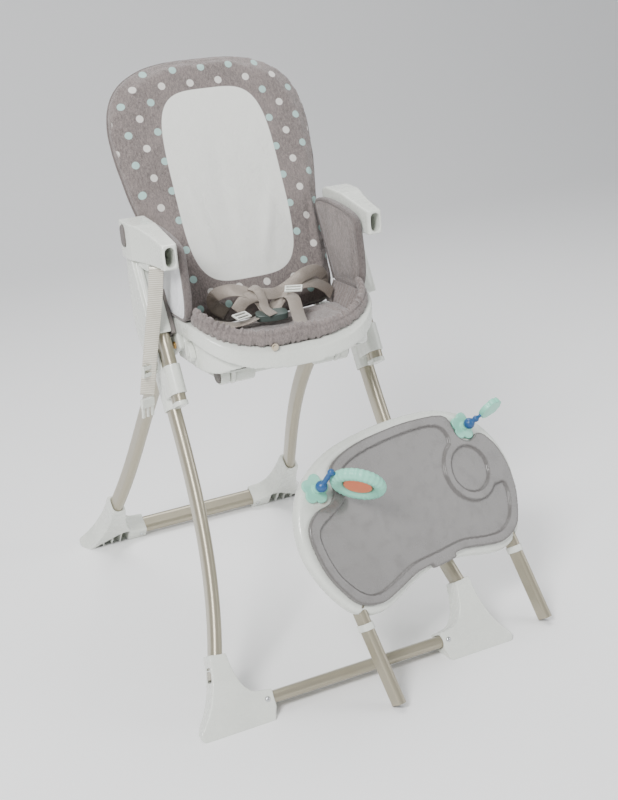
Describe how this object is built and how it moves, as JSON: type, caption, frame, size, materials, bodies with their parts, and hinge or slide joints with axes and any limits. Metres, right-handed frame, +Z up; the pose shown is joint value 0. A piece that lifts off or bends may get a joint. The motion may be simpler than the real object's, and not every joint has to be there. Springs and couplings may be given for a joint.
{
  "type": "baby high chair",
  "caption": "Folding baby high chair with padded reclining seat, harness, height-adjustable carriage, swing-down footrest and a detached play tray standing in front.",
  "frame": {"origin": "on the floor, under the middle of the whole outline, tray included", "axes": "+Z up, the chair faces -Y, +X is the viewer's right when looking at its front"},
  "size_m": [0.6904, 0.9386, 1.0035],
  "materials": {
    "white_plastic": "satin moulded plastic, slightly cool white",
    "frame_metal": "satin champagne beige powder coat on steel tube",
    "grey_plastic": "warm grey soft-touch plastic caps",
    "tray_grey": "warm grey semi-gloss plastic tray insert",
    "dark_plastic": "dark grey-green moulded plastic",
    "heather_fabric": "padded warm heather grey woven fabric with white printed bear and pale clouds",
    "webbing": "satin silver-beige harness webbing",
    "tether_webbing": "ivory ribbed webbing",
    "steel": "bright zinc plated screw steel",
    "brass": "brushed brass",
    "mint_plastic": "mint toy plastic",
    "blue_plastic": "blue toy plastic",
    "coral_plastic": "coral toy plastic"
  },
  "bodies": {
    "front_frame": {"front_leg_left": "frame_metal", "front_leg_right": "frame_metal", "front_crossbar": "frame_metal", "front_foot_left": "white_plastic", "front_foot_right": "white_plastic", "front_screws": "steel", "leg_bracket_left": "white_plastic", "leg_bracket_right": "white_plastic", "rail_left": "frame_metal", "rail_right": "frame_metal", "rail_caps": "white_plastic", "pivot_lugs": "dark_plastic"},
    "rear_frame": {"rear_leg_left": "frame_metal", "rear_leg_right": "frame_metal", "rear_crossbar": "frame_metal", "rear_foot_left": "white_plastic", "rear_foot_right": "white_plastic", "rear_hubs": "white_plastic", "rear_screws": "steel"},
    "seat_unit": {"side_housing_left": "white_plastic", "side_housing_right": "white_plastic", "armrest_left": "white_plastic", "armrest_right": "white_plastic", "slide_blocks": "dark_plastic", "seat_rivets": "brass", "seat_pan": "white_plastic", "seat_hooks": "white_plastic", "seat_pad": "heather_fabric", "front_flap": "heather_fabric", "flap_snap": "brass", "wing_left": "heather_fabric", "wing_right": "heather_fabric", "lap_straps": "webbing", "crotch_strap": "webbing", "shoulder_straps": "webbing", "buckle": "dark_plastic", "adjusters": "white_plastic", "tether_strap": "tether_webbing", "tether_lock": "white_plastic", "tether_clip": "white_plastic"},
    "armrest_button_left": {"armrest_button_left": "grey_plastic"},
    "armrest_button_right": {"armrest_button_right": "grey_plastic"},
    "backrest": {"back_shell": "white_plastic", "back_pad": "heather_fabric"},
    "recline_lever": {"recline_lever": "grey_plastic"},
    "footrest": {"footrest_frame": "white_plastic", "footrest_panel": "white_plastic"},
    "footrest_button_left": {"footrest_button_left": "grey_plastic"},
    "footrest_button_right": {"footrest_button_right": "grey_plastic"},
    "tray": {"tray_base": "white_plastic", "tray_tubes": "frame_metal", "tray_collars": "white_plastic", "toy_clips": "mint_plastic", "toy_stems": "blue_plastic"},
    "tray_insert": {"tray_insert": "tray_grey"},
    "toy_ring": {"toy_ring": "mint_plastic"},
    "toy_ring_centre": {"toy_ring_centre": "coral_plastic"},
    "toy_clam": {"toy_clam": "mint_plastic"}
  },
  "joints": [
    {"name": "fold", "type": "hinge", "parent": "front_frame", "child": "rear_frame", "pos_m": [-0.05372, -0.04346, 0.55148], "axis": [-1, 0, 0], "range_deg": [0, 52]},
    {"name": "seat_height", "type": "slide", "parent": "front_frame", "child": "seat_unit", "axis": [0, 0.4493, 0.8934], "range_m": [-0.01, 0.08]},
    {"name": "armrest_button_left_press", "type": "slide", "parent": "seat_unit", "child": "armrest_button_left", "axis": [1, 0, 0], "range_m": [0, 0.003], "stiffness_N_per_m": 1500},
    {"name": "armrest_button_right_press", "type": "slide", "parent": "seat_unit", "child": "armrest_button_right", "axis": [-1, 0, 0], "range_m": [0, 0.003], "stiffness_N_per_m": 1500},
    {"name": "recline", "type": "hinge", "parent": "seat_unit", "child": "backrest", "pos_m": [-0.05372, -0.02405, 0.557], "axis": [-1, 0, 0], "range_deg": [0, 25]},
    {"name": "recline_lever_pull", "type": "slide", "parent": "backrest", "child": "recline_lever", "axis": [0, 0.3827, 0.9239], "range_m": [0, 0.01], "stiffness_N_per_m": 600},
    {"name": "footrest_swing", "type": "hinge", "parent": "seat_unit", "child": "footrest", "pos_m": [-0.05372, -0.14305, 0.513], "axis": [-1, 0, 0], "range_deg": [0, 110]},
    {"name": "footrest_button_left_press", "type": "slide", "parent": "footrest", "child": "footrest_button_left", "axis": [1, 0, 0], "range_m": [0, 0.003], "stiffness_N_per_m": 1200},
    {"name": "footrest_button_right_press", "type": "slide", "parent": "footrest", "child": "footrest_button_right", "axis": [-1, 0, 0], "range_m": [0, 0.003], "stiffness_N_per_m": 1200},
    {"name": "tray_free", "type": "slide", "parent": "front_frame", "child": "tray", "axis": [0, -1, 0], "range_m": [0, 0.3]},
    {"name": "tray_insert_slide", "type": "slide", "parent": "tray", "child": "tray_insert", "axis": [0.1348, -0.4862, -0.8634], "range_m": [0, 0.04]},
    {"name": "toy_ring_turn", "type": "hinge", "parent": "tray", "child": "toy_ring", "pos_m": [-0.06615, -0.33166, 0.37726], "axis": [0.8249, -0.1078, -0.555], "range_deg": [-60, 60]},
    {"name": "toy_ring_centre_spin", "type": "hinge", "parent": "toy_ring", "child": "toy_ring_centre", "pos_m": [-0.02244, -0.33738, 0.34785], "axis": [0.2307, -0.832, 0.5045], "continuous": true},
    {"name": "toy_clam_turn", "type": "hinge", "parent": "tray", "child": "toy_clam", "pos_m": [0.27788, -0.21707, 0.35574], "axis": [0.8748, -0.1044, 0.4731], "range_deg": [-45, 45]}
  ]
}
